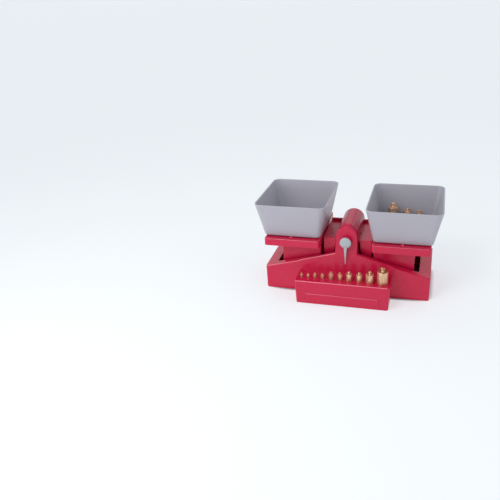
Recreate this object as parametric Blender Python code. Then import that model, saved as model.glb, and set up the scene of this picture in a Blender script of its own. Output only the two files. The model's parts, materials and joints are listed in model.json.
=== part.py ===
"""Balance scale with two lift-off pans, a rocking beam on a guided linkage and brass weights.

Run with: blender --background --python part.py
Metres, +Z up. +X runs along the beam and -Y is the front, where the pointer and the weight rack are.
Every size below is a real size. Shapes are written about the mechanism's middle plane (Y = 0),
and one empty shifts the whole scale so that the origin is under the middle of its box.
"""
import math

import bmesh
import bpy
from mathutils import Matrix, Vector

# Overall and base
BASE_LENGTH = 0.2966
BASE_DEPTH = 0.1256
BASE_END_HEIGHT = 0.0441
GABLE_HEIGHT = 0.0775
BASE_WALL = 0.003
BASE_CORNER_RADIUS = 0.0036
EDGE_RADIUS = 0.002
LEAN_BLEND = 0.010
BRIDGE_WIDTH = 0.0412
LEG_END_GAP = 0.0096
LEG_SIDE_GAP = 0.003
OPENING_RADIUS = 0.004

# Weight rack in front of the base
RACK_LENGTH = 0.166
RACK_DEPTH = 0.0444
RACK_DRAFT = 0.0015
RACK_CORNER_RADIUS = 0.004
PANEL_LENGTH = 0.130
PANEL_LOW = 0.005
PANEL_HIGH = 0.020
PANEL_PROUD = 0.0013
PANEL_EDGE = 0.0007
SOCKET_DEPTH = 0.0015
SOCKET_CLEARANCE = 0.0005

# Pylon, pivot and bearings
PYLON_WIDTH = 0.0394
PYLON_TOP_DEPTH = 0.0114
PYLON_EDGE = 0.0014
BEAM_FACE_GAP = 0.0008
PIVOT_HEIGHT = 0.102
PYLON_ARC_RISE = 0.0045
AXLE_RADIUS = 0.0025
AXLE_COVER = 0.0006
BEARING_WALL = 0.0022
RUNNING_GAP = 0.0003
POST_WIDTH = 0.016
POST_THICKNESS = 0.004
POST_PLACE = 0.032
RAMP_WIDTH = 0.012
RAMP_RISE = 0.0033
RAMP_LENGTH = 0.0073

# Beam
ARM_REACH = 0.0976
LINK_DROP = 0.010
BEAM_DEPTH = 0.0796
BEAM_TOP_DROP = 0.0032
BEAM_PLATE = 0.0028
CAP_WALL_DROP = 0.0210
SKIRT_DROP = 0.038
SKIRT_DRAW = 0.0018
BEAM_WALL = 0.0025
BEAM_END_GAP = 0.0018
NOTCH_TOP_GAP = 0.0019
NOTCH_FOOT_GAP = 0.0057
RAIL_HEIGHT = 0.0051
SPINE_WIDTH = 0.035
SPINE_HEIGHT = 0.010
PIVOT_BOSS_RADIUS = 0.006
HUMP_GROOVE_PLACE = 0.0065
HUMP_GROOVE_WIDTH = 0.0009
HUMP_GROOVE_DEPTH = 0.0009
HUMP_INSET = 0.0006

# Pointer
POINTER_RADIUS = 0.010
POINTER_THICKNESS = 0.0045
POINTER_STANDOFF = 0.0082
POINTER_LENGTH = 0.0403
POINTER_ROOT_WIDTH = 0.0062
POINTER_TIP_WIDTH = 0.0012
POINTER_FLAT_SHARE = 0.6
NEEDLE_THICKNESS = 0.002
NEEDLE_INSET = 0.0007
HUB_RADIUS = 0.0052

# Carriers under the pans
PLATFORM_INNER_REACH = 0.0518
PLATFORM_OUTER_REACH = 0.0483
PLATFORM_DEPTH = 0.1382
PLATFORM_RISE = 0.0015
PLATFORM_HEIGHT = 0.0133
PLATFORM_PLATE = 0.003
PLATFORM_RADIUS = 0.004
CARRIER_WALL = 0.0025
LEG_INNER_REACH = 0.0506
LEG_OUTER_REACH = 0.0208
LEG_DEPTH = 0.094
LEG_BOTTOM = 0.022
RIB_THICKNESS = 0.003
RIB_GAP = 0.003
WINDOW_GAP = 0.002
WINDOW_SILL = 0.0006
PIN_RADIUS = 0.002
PAD_HEIGHT = 0.0025
PAD_MARGIN = 0.0085
NUB_WIDTH = 0.0055
NUB_DEPTH = 0.0028
NUB_HEIGHT = 0.0022
NUB_PLACE = 0.0596

# Stay that keeps the carriers upright
STAY_PIVOT_HEIGHT = 0.044
STAY_THICKNESS = 0.008
STAY_BAR_HEIGHT = 0.008
STAY_BOSS_RADIUS = 0.0055
LUG_GAP = 0.001
LUG_THICKNESS = 0.003

# Pans
PAN_FLOOR_LENGTH = 0.102
PAN_FLOOR_DEPTH = 0.1142
PAN_RIM_LENGTH = 0.1288
PAN_RIM_DEPTH = 0.1418
PAN_HEIGHT = 0.06195
PAN_WALL = 0.0022
PAN_FLOOR = 0.0025
PAN_SEAT_GAP = 0.0013
PAN_RIM_RADIUS = 0.0135
PAN_FLOOR_RADIUS = 0.0075

# Brass weights: grams, then the diameters of body and knob
WEIGHT_SIZES = {1: (0.0056, 0.0034), 2: (0.0068, 0.0036), 5: (0.0088, 0.0043),
                10: (0.0112, 0.0051), 20: (0.0145, 0.0063), 50: (0.019, 0.0086)}
WEIGHT_DENSITY = 7000.0
KNOB_SHARE = 0.42
NECK_SHARE = 0.45
NECK_WIDTH_SHARE = 0.5
NECK_FLARE = 1.7
BODY_EDGE_SHARE = 0.08
# A knob's outline, foot to top: radius and height as shares of the knob's own, and how full that makes it
KNOB_OUTLINE = ((0.55, 0.0), (1.0, 0.3), (1.0, 0.6), (0.7, 0.92), (0.3, 1.0))
KNOB_FILL = 0.75
# The row of weights stands this much nearer to the rack's front than its middle
RACK_ROW_SHIFT = 0.0045
# Weights standing in the rack: grams, letter, place along it as a share of its half length
RACK_ROW = ((1, "a", -0.884), (1, "b", -0.742), (2, "a", -0.597), (2, "b", -0.435), (5, "a", -0.250),
            (5, "b", -0.062), (10, "a", 0.133), (10, "b", 0.345), (20, "", 0.565), (50, "", 0.827))
# Weights standing in the right pan: grams, place along the floor and across it as shares of its half sizes
PAN_ROW = ((50, -0.53, 0.78), (20, 0.01, 0.80), (10, 0.45, 0.84))

SEAT_GAP = 0.0003
JOIN_DEPTH = 0.00125
OVERRUN = 0.004
SHORT_OVERRUN = 0.001
ROUND_STEPS = 24
WEIGHT_STEPS = 20
CORNER_STEPS = 4

# Sizes that follow from the ones above
PYLON_ARC_HEIGHT = PIVOT_HEIGHT + PYLON_ARC_RISE
BEAM_TOP = PIVOT_HEIGHT - BEAM_TOP_DROP
BEAM_BOTTOM = PIVOT_HEIGHT - CAP_WALL_DROP
SKIRT_FOOT = PIVOT_HEIGHT - SKIRT_DROP
PLATFORM_TOP = PIVOT_HEIGHT + PLATFORM_RISE
FRONT = -BASE_DEPTH / 2
PYLON_BACK = BEAM_DEPTH / 2 + BEAM_FACE_GAP
FACE_LEAN = math.atan((-FRONT - PYLON_BACK - PYLON_TOP_DEPTH) / (PYLON_ARC_HEIGHT - BASE_END_HEIGHT))
RACK_FRONT = FRONT - RACK_DEPTH
MID_SHIFT = (PANEL_PROUD - RACK_FRONT - PAN_RIM_DEPTH / 2) / 2
CARRIER_PIVOT_HEIGHT = PIVOT_HEIGHT - LINK_DROP
STAY_END_HEIGHT = STAY_PIVOT_HEIGHT - LINK_DROP
LUG_IN = STAY_THICKNESS / 2 + BEAM_WALL + LUG_GAP
LUG_OUT = LUG_IN + LUG_THICKNESS
BEARING_RADIUS = AXLE_RADIUS + RUNNING_GAP + BEARING_WALL
HALF_PYLON = PYLON_WIDTH / 2
HALF_CAP = ARM_REACH - PLATFORM_INNER_REACH - BEAM_END_GAP
HALF_SPINE = SPINE_WIDTH / 2
RIB_INNER = HALF_SPINE + RIB_GAP
RIB_OUTER = RIB_INNER + RIB_THICKNESS
PLATE_UNDER = BEAM_TOP - BEAM_PLATE
PAD_TOP = PLATFORM_TOP + PAD_HEIGHT
PAN_BOTTOM = PLATFORM_TOP + PAN_SEAT_GAP
PAN_RECESS = PAD_TOP + SEAT_GAP
PAN_FLOOR_TOP = PAN_RECESS + PAN_FLOOR
RACK_ROW_Y = (RACK_FRONT + FRONT) / 2 - RACK_ROW_SHIFT
SOCKET_FLOOR = BASE_END_HEIGHT - SOCKET_DEPTH


# Outlines: lists of (a, b) points in one plane

def rounded(corners, radii, steps=CORNER_STEPS):
    """The outline with each corner replaced by an arc of its own radius."""
    if not isinstance(radii, (list, tuple)):
        radii = [radii] * len(corners)
    outline = []
    for index, radius in enumerate(radii):
        corner = Vector(corners[index])
        to_last = (Vector(corners[index - 1]) - corner).normalized()
        to_next = (Vector(corners[(index + 1) % len(corners)]) - corner).normalized()
        if radius <= 0:
            outline.append(tuple(corner))
            continue
        half = to_last.angle(to_next) / 2
        centre = corner + (to_last + to_next).normalized() * (radius / math.sin(half))
        start = corner + to_last * (radius / math.tan(half)) - centre
        end = corner + to_next * (radius / math.tan(half)) - centre
        for step in range(steps + 1):
            turn = start.slerp(end, step / steps)
            outline.append(tuple(centre + turn.normalized() * radius))
    return outline


def rectangle(low_a, high_a, low_b, high_b, radii=0.0, steps=CORNER_STEPS):
    """A rectangle, with rounded corners where radii says so."""
    return rounded([(low_a, low_b), (high_a, low_b), (high_a, high_b), (low_a, high_b)], radii, steps)


def circle(radius, centre=(0.0, 0.0), steps=ROUND_STEPS):
    """A circle of straight facets."""
    turns = [2 * math.pi * step / steps for step in range(steps)]
    return [(centre[0] + radius * math.cos(turn), centre[1] + radius * math.sin(turn)) for turn in turns]


def tombstone(half_width, low, arc_height, steps=ROUND_STEPS // 2):
    """A slab outline with a half-round top, or a half-round foot where low is the higher end."""
    side = 1.0 if arc_height > low else -1.0
    turns = [math.pi * step / steps for step in range(steps + 1)]
    arc = [(half_width * math.cos(turn), arc_height + side * half_width * math.sin(turn)) for turn in turns]
    return [(-half_width, low), (half_width, low)] + arc


# Solids: meshes of one closed body

def loft(rings):
    """A closed skin over a stack of rings that have the same number of points, capped at both ends."""
    shape = bmesh.new()
    rows = [[shape.verts.new(point) for point in ring] for ring in rings]
    count = len(rows[0])
    for low, high in zip(rows, rows[1:]):
        for index in range(count):
            after = (index + 1) % count
            shape.faces.new((low[index], low[after], high[after], high[index]))
    shape.faces.new(rows[0])
    shape.faces.new(rows[-1])
    bmesh.ops.recalc_face_normals(shape, faces=shape.faces)
    return shape


def prism(outline, low, high, axis="Y"):
    """An outline carried straight from low to high along an axis."""
    spread = {"X": lambda a, b, t: (t, a, b), "Y": lambda a, b, t: (a, t, b), "Z": lambda a, b, t: (a, b, t)}
    return loft([[spread[axis](a, b, t) for a, b in outline] for t in (low, high)])


def box(x, y, z):
    """A block between the pairs of limits x, y and z."""
    return prism(rectangle(*x, *y), *z, axis="Z")


def rod(radius, y_low, y_high, x=0.0, z=0.0, steps=ROUND_STEPS):
    """A round bar along Y."""
    return prism(circle(radius, (x, z), steps), y_low, y_high)


def turned(profile, x=0.0, y=0.0, steps=ROUND_STEPS):
    """A solid turned about an upright axis, from (radius, height) points, foot to top."""
    rings = [(circle(radius, (x, y), steps), height) for radius, height in profile]
    return loft([[(px, py, height) for px, py in ring] for ring, height in rings])


# Objects

def material(name, colour, roughness, metallic=0.0, coat=0.0):
    """One Principled finish."""
    finish = bpy.data.materials.new(name)
    finish.use_nodes = True
    shader = finish.node_tree.nodes["Principled BSDF"]
    shader.inputs["Base Color"].default_value = (*colour, 1.0)
    shader.inputs["Roughness"].default_value = roughness
    shader.inputs["Metallic"].default_value = metallic
    shader.inputs["Coat Weight"].default_value = coat
    finish.diffuse_color = (*colour, 1.0)
    return finish


def solid(name, shape):
    """An object that holds a mesh in the mechanism's frame."""
    mesh = bpy.data.meshes.new(name)
    shape.to_mesh(mesh)
    shape.free()
    item = bpy.data.objects.new(name, mesh)
    bpy.context.scene.collection.objects.link(item)
    return item


def combine(item, operation, *shapes):
    """Join shapes to an object, or cut them from it, one Boolean after another."""
    for shape in shapes:
        tool = solid(item.name + "_tool", shape)
        step = item.modifiers.new(operation.title(), "BOOLEAN")
        step.operation = operation
        step.solver = "EXACT"
        step.object = tool
        whole = bpy.data.meshes.new_from_object(item.evaluated_get(bpy.context.evaluated_depsgraph_get()))
        item.modifiers.clear()
        spent = (item.data, tool.data)
        item.data = whole
        bpy.data.objects.remove(tool)
        for mesh in spent:
            bpy.data.meshes.remove(mesh)
    item.data.name = item.name
    return item


def join(item, *shapes):
    """Fuse shapes to an object."""
    return combine(item, "UNION", *shapes)


def cut(item, *shapes):
    """Cut shapes out of an object."""
    return combine(item, "DIFFERENCE", *shapes)


def axis_empty(name, parent, place):
    """An empty on a joint's axis, at a place in the mechanism's frame."""
    empty = bpy.data.objects.new(name, None)
    empty.empty_display_size = 0.01
    empty["place"] = place
    bpy.context.scene.collection.objects.link(empty)
    if parent is None:
        empty.location = (0.0, MID_SHIFT, 0.0)
    else:
        empty.parent = parent
        empty.location = Vector(place) - Vector(parent["place"])
    return empty


def finish_piece(item, parent, finish):
    """Hang a piece on its empty, with its origin there, and shade its round faces smooth."""
    item.data.transform(Matrix.Translation(-Vector(parent["place"])))
    item.parent = parent
    item.data.materials.clear()
    item.data.materials.append(finish)
    item.data.shade_smooth()
    item.data.set_sharp_from_angle(angle=math.radians(32))
    return item


# Base

def face_y(height, lean=1.0):
    """Where the base's front face stands at a height: upright below the rack's top, leaning back above."""
    return FRONT + lean * max(0.0, height - BASE_END_HEIGHT) * math.tan(FACE_LEAN)


def roof_height(x):
    """The gable's height at a place along the base."""
    run = BASE_LENGTH / 2 - HALF_PYLON
    share = min(1.0, max(0.0, (BASE_LENGTH / 2 - abs(x)) / run))
    return BASE_END_HEIGHT + (GABLE_HEIGHT - BASE_END_HEIGHT) * share


def corner_radius(inset):
    """The rounding of the base's upright corners, outside or on the inside of its wall."""
    return max(BASE_CORNER_RADIUS - inset, EDGE_RADIUS / 2)


def base_section(x, inset, foot):
    """One cross-section of the base: foot, upright front, leaning front, rounded eaves, roof and back."""
    from_end = BASE_LENGTH / 2 - inset - abs(x)
    radius = corner_radius(inset)
    pull = radius - math.sqrt(max(0.0, radius ** 2 - max(0.0, radius - from_end) ** 2))
    half_rack = RACK_LENGTH / 2
    lean = min(1.0, max(0.0, (half_rack + LEAN_BLEND / 2 - abs(x)) / LEAN_BLEND))
    top = roof_height(x) - inset
    eave = max(EDGE_RADIUS - inset / 2, EDGE_RADIUS / 4)
    front = -BASE_DEPTH / 2 + inset + pull
    back = BASE_DEPTH / 2 - inset - pull
    knee = min(BASE_END_HEIGHT, top - eave) - EDGE_RADIUS

    def front_at(height):
        return front + lean * max(0.0, height - knee) * math.tan(FACE_LEAN)

    points = [(front, foot), (front, knee), (front_at(top - eave), top - eave)]
    points += [(front_at(top) + eave * (1 - math.cos(turn)), top - eave * (1 - math.sin(turn)))
               for turn in (math.pi / 4, math.pi / 2)]
    points += [(back - eave * (1 - math.sin(turn)), top - eave * (1 - math.cos(turn)))
               for turn in (0.0, math.pi / 4, math.pi / 2)]
    points += [(back, foot)]
    return [(x, y, z) for y, z in points]


def base_block(inset, foot):
    """The base's gabled block, drawn in on all sides by an inset, as a loft along its length."""
    half = BASE_LENGTH / 2 - inset
    radius = corner_radius(inset)
    corner = [half - radius * (1 - math.sin(math.pi / 2 * step / CORNER_STEPS))
              for step in range(CORNER_STEPS, -1, -1)]
    half_rack = RACK_LENGTH / 2
    places = corner + [half_rack + LEAN_BLEND / 2, half_rack - LEAN_BLEND / 2, HALF_PYLON]
    stations = [-place for place in places] + places[::-1]
    return loft([base_section(x, inset, foot) for x in stations])


def pylon_block(inset, foot, back):
    """The round-topped pylon, whose face leans back in line with the base's front."""
    outline = tombstone(HALF_PYLON - inset, foot, PYLON_ARC_HEIGHT)
    inner = tombstone(HALF_PYLON - inset - PYLON_EDGE, foot, PYLON_ARC_HEIGHT)
    set_in = inset + SEAT_GAP / 2
    face = [(x, face_y(z) + set_in, z) for x, z in inner]
    shoulder = [(x, face_y(z) + set_in + PYLON_EDGE, z) for x, z in outline]
    rear = [(x, back, z) for x, z in outline]
    return loft([face, shoulder, rear])


def rack_block(inset, foot):
    """The weight rack's block, a little wider at its top, with rounded front corners and top edge."""
    rings = []
    edge = max(EDGE_RADIUS - inset, EDGE_RADIUS / 4)
    radius = max(RACK_CORNER_RADIUS - inset, EDGE_RADIUS / 2)
    top = BASE_END_HEIGHT - inset
    back = FRONT + (BASE_WALL / 2 if inset == 0 else 0.0)
    levels = [(foot, RACK_DRAFT)] + [(top - edge * (1 - math.sin(turn)), edge * (1 - math.cos(turn)))
                                     for turn in (0.0, math.pi / 4, math.pi / 2)]
    for height, draw in levels:
        half = RACK_LENGTH / 2 - inset - draw
        front = RACK_FRONT + inset + (draw if height > foot else 0.0)
        plan = rectangle(-half, half, front, back, [radius, radius, 0.0, 0.0])
        rings.append([(x, y, height) for x, y in plan])
    return loft(rings)


def half_size(grams):
    """The radius of a weight's body."""
    return WEIGHT_SIZES[grams][0] / 2


def base_housing():
    """Base, rack and pylon moulded in one, open below, with the bearing walls inside."""
    housing = solid("base_housing", base_block(0.0, 0.0))
    pylon_root = BASE_END_HEIGHT + (GABLE_HEIGHT - BASE_END_HEIGHT) * 3 / 4
    join(housing, rack_block(0.0, 0.0), pylon_block(0.0, pylon_root, -PYLON_BACK), rack_panel(), pylon_ramp())
    cut(housing, base_block(BASE_WALL, -OVERRUN), rack_block(BASE_WALL, -OVERRUN),
        pylon_block(BASE_WALL, pylon_root, -PYLON_BACK - BASE_WALL))
    opening_in = BRIDGE_WIDTH / 2
    opening_out = ARM_REACH + LEG_OUTER_REACH + LEG_END_GAP
    half_opening = LEG_DEPTH / 2 + LEG_SIDE_GAP
    for low, high in ((-opening_out, -opening_in), (opening_in, opening_out)):
        plan = rectangle(low, high, -half_opening, half_opening, OPENING_RADIUS)
        cut(housing, prism(plan, BASE_END_HEIGHT - BASE_WALL - OVERRUN, GABLE_HEIGHT + OVERRUN, axis="Z"))
    for grams, letter, share in RACK_ROW:
        socket = circle(half_size(grams) + SOCKET_CLEARANCE, (share * RACK_LENGTH / 2, RACK_ROW_Y))
        cut(housing, prism(socket, SOCKET_FLOOR, BASE_END_HEIGHT + OVERRUN, axis="Z"))
    under_roof = GABLE_HEIGHT - BASE_WALL / 2
    half_post = POST_THICKNESS / 2
    post_outline = tombstone(POST_WIDTH / 2, under_roof, PIVOT_HEIGHT)
    post = prism(post_outline, POST_PLACE - half_post, POST_PLACE + half_post)
    lug_outline = tombstone(POST_WIDTH / 2, under_roof, STAY_PIVOT_HEIGHT)
    join(housing, post, prism(lug_outline, -LUG_OUT, -LUG_IN), prism(lug_outline, LUG_IN, LUG_OUT))
    bearing_hole = BEARING_RADIUS + SEAT_GAP
    behind_wall = -PYLON_BACK - BASE_WALL - JOIN_DEPTH
    cut(housing, rod(bearing_hole, POST_PLACE - POST_THICKNESS, POST_PLACE + POST_THICKNESS, z=PIVOT_HEIGHT),
        rod(bearing_hole, behind_wall, -PYLON_BACK + OVERRUN, z=PIVOT_HEIGHT),
        rod(AXLE_RADIUS + EDGE_RADIUS, FRONT, behind_wall, z=PIVOT_HEIGHT),
        rod(PIN_RADIUS + SEAT_GAP, -LUG_OUT - OVERRUN, LUG_OUT + OVERRUN, z=STAY_PIVOT_HEIGHT,
            steps=ROUND_STEPS // 2))
    return housing


def rack_panel():
    """The raised panel on the rack's front, with a small bevel all round."""
    rings = []
    for y, draw in ((RACK_FRONT + JOIN_DEPTH, 0.0), (RACK_FRONT - PANEL_PROUD + PANEL_EDGE, 0.0),
                    (RACK_FRONT - PANEL_PROUD, PANEL_EDGE)):
        half_panel = PANEL_LENGTH / 2 - draw
        outline = rectangle(-half_panel, half_panel, PANEL_LOW + draw, PANEL_HIGH - draw, EDGE_RADIUS - draw)
        rings.append([(x, y, z) for x, z in outline])
    return loft(rings)


def pylon_ramp():
    """The short tab that rises from the pylon's crown towards the hump behind it."""
    crown = PYLON_ARC_HEIGHT + HALF_PYLON
    front = -PYLON_BACK - RAMP_LENGTH
    side_view = [(-PYLON_BACK, crown - BASE_WALL), (front, crown - BASE_WALL), (front, crown - PYLON_EDGE),
                 (-PYLON_BACK, crown + RAMP_RISE)]
    return prism(side_view, -RAMP_WIDTH / 2, RAMP_WIDTH / 2, axis="X")


def bearing(name, y_low, y_high):
    """A plain bush for the axle."""
    bush = solid(name, rod(BEARING_RADIUS, y_low, y_high, z=PIVOT_HEIGHT))
    return cut(bush, rod(AXLE_RADIUS + RUNNING_GAP, y_low - OVERRUN, y_high + OVERRUN, z=PIVOT_HEIGHT))


# Beam

def beam():
    """The rocking beam: a cap over the middle, a half-round hump on it and a spine out to both pivots."""
    half_depth = BEAM_DEPTH / 2
    pivot_foot = CARRIER_PIVOT_HEIGHT - SPINE_HEIGHT
    piece = beam_cap(half_depth)
    rail = rectangle(-HALF_CAP + JOIN_DEPTH, HALF_CAP - JOIN_DEPTH, BEAM_BOTTOM, BEAM_TOP + RAIL_HEIGHT,
                     EDGE_RADIUS / 2, 2)
    spine_end = ARM_REACH - PIVOT_BOSS_RADIUS / 2
    spine = box((-spine_end, spine_end), (-HALF_SPINE, HALF_SPINE), (pivot_foot, CARRIER_PIVOT_HEIGHT))
    join(piece, prism(rail, half_depth - JOIN_DEPTH, half_depth + BEAM_WALL), spine)
    spine_inner = HALF_SPINE - BEAM_WALL
    channel_z = (pivot_foot - OVERRUN, CARRIER_PIVOT_HEIGHT - BEAM_WALL)
    channel_end = ARM_REACH - PIVOT_BOSS_RADIUS - BEAM_WALL
    for low, high in ((-channel_end, -HALF_CAP), (-HALF_CAP + BEAM_WALL, HALF_CAP - BEAM_WALL),
                      (HALF_CAP, channel_end)):
        cut(piece, box((low, high), (-spine_inner, spine_inner), channel_z))
    hump_front = -half_depth + HUMP_INSET
    hump = tombstone(HALF_PYLON, PLATE_UNDER + JOIN_DEPTH, PYLON_ARC_HEIGHT)
    join(piece, prism(hump, hump_front, half_depth))
    hollow = tombstone(HALF_PYLON - BEAM_WALL, CARRIER_PIVOT_HEIGHT + JOIN_DEPTH, PYLON_ARC_HEIGHT)
    cut(piece, prism(hollow, hump_front + BEAM_WALL, half_depth - JOIN_DEPTH))
    crown = PYLON_ARC_HEIGHT + HALF_PYLON
    for side in (-1, 1):
        pivot = (side * ARM_REACH, CARRIER_PIVOT_HEIGHT)
        join(piece, rod(PIVOT_BOSS_RADIUS, -HALF_SPINE, HALF_SPINE, *pivot))
        cut(piece, rod(PIN_RADIUS + RUNNING_GAP, -HALF_SPINE - OVERRUN, HALF_SPINE + OVERRUN, *pivot,
                       ROUND_STEPS // 2))
        groove = [side * HUMP_GROOVE_PLACE + edge * HUMP_GROOVE_WIDTH / 2 for edge in (-1, 1)]
        cut(piece, box(groove, (hump_front - OVERRUN, half_depth - BEAM_WALL),
                       (groove_floor(), crown + OVERRUN)))
    cut(piece, rod(AXLE_RADIUS + SEAT_GAP, -half_depth - OVERRUN, half_depth - AXLE_COVER, z=PIVOT_HEIGHT))
    return piece


def groove_floor():
    """How high the floor of the two grooves along the hump lies: a groove's depth below the arc there."""
    rise = math.sqrt(HALF_PYLON ** 2 - (HUMP_GROOVE_PLACE + HUMP_GROOVE_WIDTH / 2) ** 2)
    return PYLON_ARC_HEIGHT + rise - HUMP_GROOVE_DEPTH


def beam_cap(half_depth):
    """The cap: a plate with short side walls and two long front skirts, one each side of the pylon."""
    plans = []
    for inset in (0.0, BEAM_WALL):
        plans.append(rectangle(-HALF_CAP + inset, HALF_CAP - inset, -half_depth + inset, half_depth - inset,
                               EDGE_RADIUS - inset / 2))
    piece = solid("beam", prism(plans[0], SKIRT_FOOT, BEAM_TOP, axis="Z"))
    cut(piece, prism(plans[1], SKIRT_FOOT - OVERRUN, PLATE_UNDER, axis="Z"),
        box((-HALF_CAP - OVERRUN, HALF_CAP + OVERRUN), (-half_depth + BEAM_WALL, half_depth + OVERRUN),
            (SKIRT_FOOT - OVERRUN, BEAM_BOTTOM)))
    top = HALF_PYLON + NOTCH_TOP_GAP
    foot = HALF_PYLON + NOTCH_FOOT_GAP
    notch = rounded([(-foot, SKIRT_FOOT - OVERRUN / 100), (foot, SKIRT_FOOT - OVERRUN / 100),
                     (top, PLATE_UNDER - SEAT_GAP), (-top, PLATE_UNDER - SEAT_GAP)],
                    [0.0, 0.0, EDGE_RADIUS, EDGE_RADIUS])
    cut(piece, prism(notch, -half_depth - OVERRUN, -half_depth + BEAM_WALL + OVERRUN))
    for side in (-1, 1):
        wedge = [(side * HALF_CAP, BEAM_BOTTOM), (side * (HALF_CAP + OVERRUN), BEAM_BOTTOM),
                 (side * (HALF_CAP + OVERRUN), SKIRT_FOOT - OVERRUN / 100),
                 (side * (HALF_CAP - SKIRT_DRAW), SKIRT_FOOT - OVERRUN / 100)]
        cut(piece, prism(wedge, -half_depth - OVERRUN, -half_depth + BEAM_WALL + OVERRUN))
    return piece


def pointer():
    """The pointer on the axle's front end: a domed disc, a tapered needle and a hub behind."""
    back = face_y(PIVOT_HEIGHT) - POINTER_STANDOFF
    front = back - POINTER_THICKNESS
    dome = [(POINTER_FLAT_SHARE + (1 - POINTER_FLAT_SHARE) * math.sin(turn),
             front + POINTER_THICKNESS / 2 * (1 - math.cos(turn)))
            for turn in (0.0, math.pi / 6, math.pi / 3, math.pi / 2)] + [(1.0, back)]
    disc = loft([[(x, y, z) for x, z in circle(POINTER_RADIUS * share, (0.0, PIVOT_HEIGHT))]
                 for share, y in dome])
    piece = solid("pointer", disc)
    tip = PIVOT_HEIGHT - POINTER_LENGTH
    needle = [(-POINTER_ROOT_WIDTH / 2, PIVOT_HEIGHT - POINTER_RADIUS / 2), (-POINTER_TIP_WIDTH / 2, tip),
              (POINTER_TIP_WIDTH / 2, tip), (POINTER_ROOT_WIDTH / 2, PIVOT_HEIGHT - POINTER_RADIUS / 2)]
    join(piece, prism(needle, back - NEEDLE_INSET - NEEDLE_THICKNESS, back - NEEDLE_INSET),
         rod(HUB_RADIUS, back - POINTER_THICKNESS / 2, face_y(PIVOT_HEIGHT + HUB_RADIUS) - EDGE_RADIUS,
             z=PIVOT_HEIGHT))
    cut(piece, rod(AXLE_RADIUS + SEAT_GAP, front + BEAM_WALL, FRONT + BASE_DEPTH / 2, z=PIVOT_HEIGHT))
    return piece


def pivot_axle():
    """The steel axle fixed in the beam."""
    front = face_y(PIVOT_HEIGHT) - POINTER_STANDOFF - POINTER_THICKNESS + BEAM_WALL + SEAT_GAP
    back = BEAM_DEPTH / 2 - AXLE_COVER - SEAT_GAP
    return solid("pivot_axle", rod(AXLE_RADIUS, front, back, z=PIVOT_HEIGHT))


# Carriers, their pins and the stay

def carrier(name, side):
    """A platform under a pan and the hollow leg that guides it, moulded in one."""
    def span(inner, outer):
        return tuple(sorted((side * (ARM_REACH - inner), side * (ARM_REACH + outer))))

    half_depth = PLATFORM_DEPTH / 2
    foot = PLATFORM_TOP - PLATFORM_HEIGHT
    under = PLATFORM_TOP - PLATFORM_PLATE
    into_plate = PLATFORM_TOP - PLATFORM_PLATE / 2
    low, high = span(PLATFORM_INNER_REACH, PLATFORM_OUTER_REACH)
    rings = []
    for height, draw in ((foot, 0.0), (PLATFORM_TOP - EDGE_RADIUS / 2, 0.0), (PLATFORM_TOP, EDGE_RADIUS / 2)):
        drawn = half_depth - draw
        plan = rectangle(low + draw, high - draw, -drawn, drawn, PLATFORM_RADIUS - draw)
        rings.append([(x, y, height) for x, y in plan])
    piece = solid(name, loft(rings))
    inner_depth = half_depth - CARRIER_WALL
    plan = rectangle(low + CARRIER_WALL, high - CARRIER_WALL, -inner_depth, inner_depth,
                     PLATFORM_RADIUS - CARRIER_WALL / 2)
    cut(piece, prism(plan, foot - OVERRUN, under, axis="Z"))
    low, high = span(LEG_INNER_REACH, LEG_OUTER_REACH)
    half_leg = LEG_DEPTH / 2
    leg = rectangle(low, high, -half_leg, half_leg, EDGE_RADIUS)
    join(piece, prism(leg, LEG_BOTTOM, into_plate, axis="Z"))
    inner_leg = half_leg - CARRIER_WALL
    hollow = rectangle(low + CARRIER_WALL, high - CARRIER_WALL, -inner_leg, inner_leg)
    cut(piece, prism(hollow, LEG_BOTTOM - OVERRUN, under - SEAT_GAP, axis="Z"))
    for front in (-RIB_OUTER, RIB_INNER):
        join(piece, box((low + CARRIER_WALL / 2, high - CARRIER_WALL / 2), (front, front + RIB_THICKNESS),
                        (LEG_BOTTOM + EDGE_RADIUS, into_plate - SEAT_GAP)))
    for height in (CARRIER_PIVOT_HEIGHT, STAY_END_HEIGHT):
        cut(piece, rod(PIN_RADIUS + SEAT_GAP, -RIB_OUTER - OVERRUN, RIB_OUTER + OVERRUN,
                       side * ARM_REACH, height, ROUND_STEPS // 2))
    window = HALF_SPINE + WINDOW_GAP
    for reach, sill in ((LEG_INNER_REACH, LEG_BOTTOM), (PLATFORM_INNER_REACH, foot)):
        wall = span(reach + SHORT_OVERRUN, CARRIER_WALL + SHORT_OVERRUN - reach)
        cut(piece, box(wall, (-window, window), (sill - OVERRUN, under - WINDOW_SILL)))
    pad_x = PAN_FLOOR_LENGTH / 2 - PAD_MARGIN
    pad_y = PAN_FLOOR_DEPTH / 2 - PAD_MARGIN
    pad = rectangle(side * ARM_REACH - pad_x, side * ARM_REACH + pad_x, -pad_y, pad_y, PLATFORM_RADIUS)
    nubs = [box((side * ARM_REACH - NUB_WIDTH / 2, side * ARM_REACH + NUB_WIDTH / 2),
                (place - NUB_DEPTH / 2, place + NUB_DEPTH / 2),
                (into_plate, PLATFORM_TOP + NUB_HEIGHT))
            for place in (-NUB_PLACE, NUB_PLACE)]
    join(piece, prism(pad, into_plate, PAD_TOP, axis="Z"), *nubs)
    return piece


def pin(name, x, height, half_length):
    """A plain steel pin along Y."""
    return solid(name, rod(PIN_RADIUS, -half_length, half_length, x, height, ROUND_STEPS // 2))


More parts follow.
